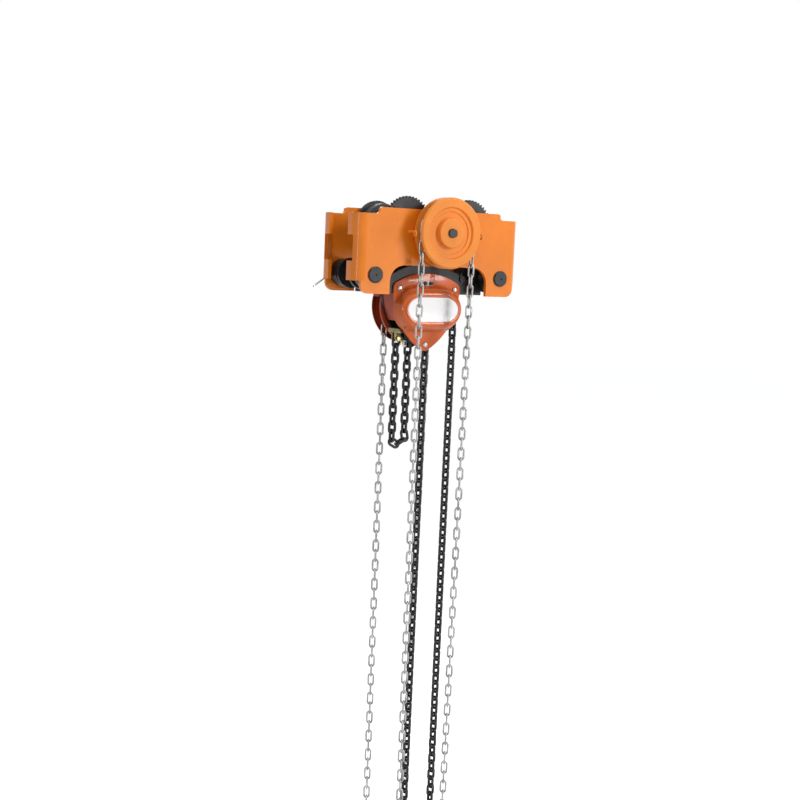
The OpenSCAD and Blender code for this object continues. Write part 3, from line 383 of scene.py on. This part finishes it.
def make_gear_cover():
    flange_points = three_sided_outline(FLANGE_WIDTH, FLANGE_CORNER, OUTLINE_POINTS)
    flange = flat_outline(flange_points, COVER_BACK, HOIST_Z)
    edit(flange)
    bpy.ops.mesh.select_all(action="SELECT")
    push_out(COVER_FACE - COVER_BACK + sum(out for out, left in FLANGE_EDGE))
    for out, left in FLANGE_EDGE:
        push_out(-out, left, left, HOIST_Z)
    leave_edit()
    bulge_points = stadium_outline(BULGE_HALF, BULGE_HIGH, OUTLINE_POINTS)
    bulge = flat_outline(bulge_points, COVER_FACE + BULGE_SEAT, BULGE_Z)
    edit(bulge)
    bpy.ops.mesh.select_all(action="SELECT")
    push_out(-BULGE_SEAT)
    half, high = BULGE_HALF, BULGE_HIGH
    reached = 0.0
    for out, narrow, low in BULGE_STEPS:
        new_half, new_high = BULGE_HALF - narrow, BULGE_HIGH - low
        push_out(reached - out, new_half / half, new_high / high, BULGE_Z)
        half, high, reached = new_half, new_high, out
    bpy.ops.mesh.inset(thickness=RIM_MARGIN, depth=0)
    push_out(-RIM_RISE * RIM_UPRIGHT)
    bpy.ops.mesh.inset(thickness=RIM_CORNER, depth=RIM_RISE * RIM_SLOPE)
    bpy.ops.mesh.inset(thickness=RIM_WIDTH - 2 * RIM_CORNER, depth=0)
    bpy.ops.mesh.inset(thickness=RIM_CORNER, depth=-RIM_RISE * RIM_SLOPE)
    push_out(RIM_RISE * RIM_UPRIGHT)
    leave_edit()
    only(bulge)
    flange.select_set(True)
    bpy.context.view_layer.objects.active = flange
    bpy.ops.object.join()
    settle(flange, 40)
    put_on(flange, "gear_cover_casting", "trolley", coral_cover, "gear_cover")


make_gear_cover()


# Parts whose solids have sharp edges, and how wide the edges are broken on the copy that stands for each
EASED = {
    "front_side_plate": 0.0012, "rear_side_plate": 0.0012,
    "front_suspension_plate": 0.0007, "rear_suspension_plate": 0.0007,
    "load_bars": 0.0009, "bar_nuts": 0.0008, "spacer_collars": 0.001, "spacer_washers": 0.0004,
    "plain_wheel_left": 0.001, "plain_wheel_right": 0.001,
    "geared_wheel_left": 0.0003, "geared_wheel_right": 0.0003,
    "pinion_shaft": 0.0004, "trolley_hand_wheel": 0.0009, "hand_wheel_cover": 0.0007,
    "brake_cover": 0.0006, "block_cheeks": 0.0009, "idler_sheave": 0.0006, "hook_nut": 0.0005,
}
# Faces that meet flatter than the first angle are one face, and edges sharper than the second are broken
ONE_FACE, SHARP_EDGE = math.radians(0.3), math.radians(32)
EDGE_STEPS = 2
FLAT_FACE_WEIGHT = 80


def break_edges(node, width):
    """Puts a copy of the node's own shape, with its sharp edges broken, in the node's place."""
    name = node + "_eased"
    piece = bpy.data.objects.new(name, nodes[node].data.copy())
    bpy.context.scene.collection.objects.link(piece)
    finish = nodes[node].data.materials[0]
    edit(piece)
    bpy.ops.mesh.select_all(action="SELECT")
    bpy.ops.mesh.remove_doubles(threshold=MERGE_REACH)
    bpy.ops.mesh.dissolve_limited(angle_limit=ONE_FACE)
    leave_edit()
    apply_modifier(piece, "BEVEL", width=width, segments=EDGE_STEPS,
                   limit_method="ANGLE", angle_limit=SHARP_EDGE)
    settle(piece)
    apply_modifier(piece, "WEIGHTED_NORMAL", keep_sharp=True, weight=FLAT_FACE_WEIGHT)
    put_on(piece, name, BODY_OF[node], finish, node)


for node, width in EASED.items():
    break_edges(node, width)


# Studio: pale floor, white surroundings and soft lamps
FLOOR_Z = -1.76
FLOOR_SIZE = 30
FLOOR_LIFT = 0.72
SKY_LIGHT = 0.34


def seen_by_camera(tree):
    """One where the ray comes from the camera, a mirror or glass, and nought where it lights the object."""
    path = tree.nodes.new("ShaderNodeLightPath")
    seen = path.outputs["Is Camera Ray"]
    for other in ("Is Glossy Ray", "Is Transmission Ray"):
        most = tree.nodes.new("ShaderNodeMath")
        most.operation = "MAXIMUM"
        tree.links.new(seen, most.inputs[0])
        tree.links.new(path.outputs[other], most.inputs[1])
        seen = most.outputs[0]
    return seen


def make_surroundings():
    world = bpy.data.worlds.new("studio")
    bpy.context.scene.world = world
    world.use_nodes = True
    tree = world.node_tree
    tree.nodes.clear()
    light = new_node(tree, "ShaderNodeBackground", Color=(0.95, 0.97, 1, 1), Strength=SKY_LIGHT)
    white = new_node(tree, "ShaderNodeBackground", Color=(1, 1, 1, 1), Strength=1.0)
    mix = tree.nodes.new("ShaderNodeMixShader")
    tree.links.new(seen_by_camera(tree), mix.inputs[0])
    tree.links.new(light.outputs[0], mix.inputs[1])
    tree.links.new(white.outputs[0], mix.inputs[2])
    out = tree.nodes.new("ShaderNodeOutputWorld")
    tree.links.new(mix.outputs[0], out.inputs["Surface"])


def make_floor():
    bpy.ops.object.select_all(action="DESELECT")
    bpy.ops.mesh.primitive_plane_add(size=FLOOR_SIZE, location=(0, 0, FLOOR_Z))
    floor = bpy.context.object
    floor.name = "studio_floor"
    made = bpy.data.materials.new("studio_floor")
    made.use_nodes = True
    tree = made.node_tree
    tree.nodes.clear()
    pale = new_node(tree, "ShaderNodeBsdfDiffuse", Color=(0.85, 0.85, 0.85, 1))
    lift = new_node(tree, "ShaderNodeEmission", Color=(1, 1, 1, 1), Strength=FLOOR_LIFT)
    both = tree.nodes.new("ShaderNodeAddShader")
    tree.links.new(pale.outputs[0], both.inputs[0])
    tree.links.new(lift.outputs[0], both.inputs[1])
    mix = tree.nodes.new("ShaderNodeMixShader")
    tree.links.new(seen_by_camera(tree), mix.inputs[0])
    tree.links.new(pale.outputs[0], mix.inputs[1])
    tree.links.new(both.outputs[0], mix.inputs[2])
    out = tree.nodes.new("ShaderNodeOutputMaterial")
    tree.links.new(mix.outputs[0], out.inputs["Surface"])
    dress(floor, made)


def softbox(name, place, aim, width, height, power):
    lamp = bpy.data.lights.new(name, "AREA")
    lamp.shape = "RECTANGLE"
    lamp.size, lamp.size_y = width, height
    lamp.energy = power
    holder = bpy.data.objects.new(name, lamp)
    bpy.context.scene.collection.objects.link(holder)
    holder.location = place
    holder.rotation_euler = (Vector(aim) - Vector(place)).to_track_quat("-Z", "Y").to_euler()


# Lamps: name, place, what it faces, width, height and power
MIDDLE = (0, 0, -0.1)
LAMPS = [
    ("key_box", (1.9, -2.9, 1.3), MIDDLE, 1.0, 1.0, 60),
    ("low_box", (1.5, -2.65, -0.5), (-0.12, -0.09, -0.08), 0.7, 0.4, 16),
    ("left_strip", (-2.9, -1.5, 0.3), MIDDLE, 0.1, 1.8, 15),
    ("top_box", (-0.2, -0.5, 2.2), MIDDLE, 1.6, 1.2, 20),
    ("back_box", (1.4, 2.6, 1.1), MIDDLE, 1.2, 1.2, 26),
]

make_surroundings()
make_floor()
for lamp_values in LAMPS:
    softbox(*lamp_values)

bpy.context.scene.view_settings.view_transform = "Standard"
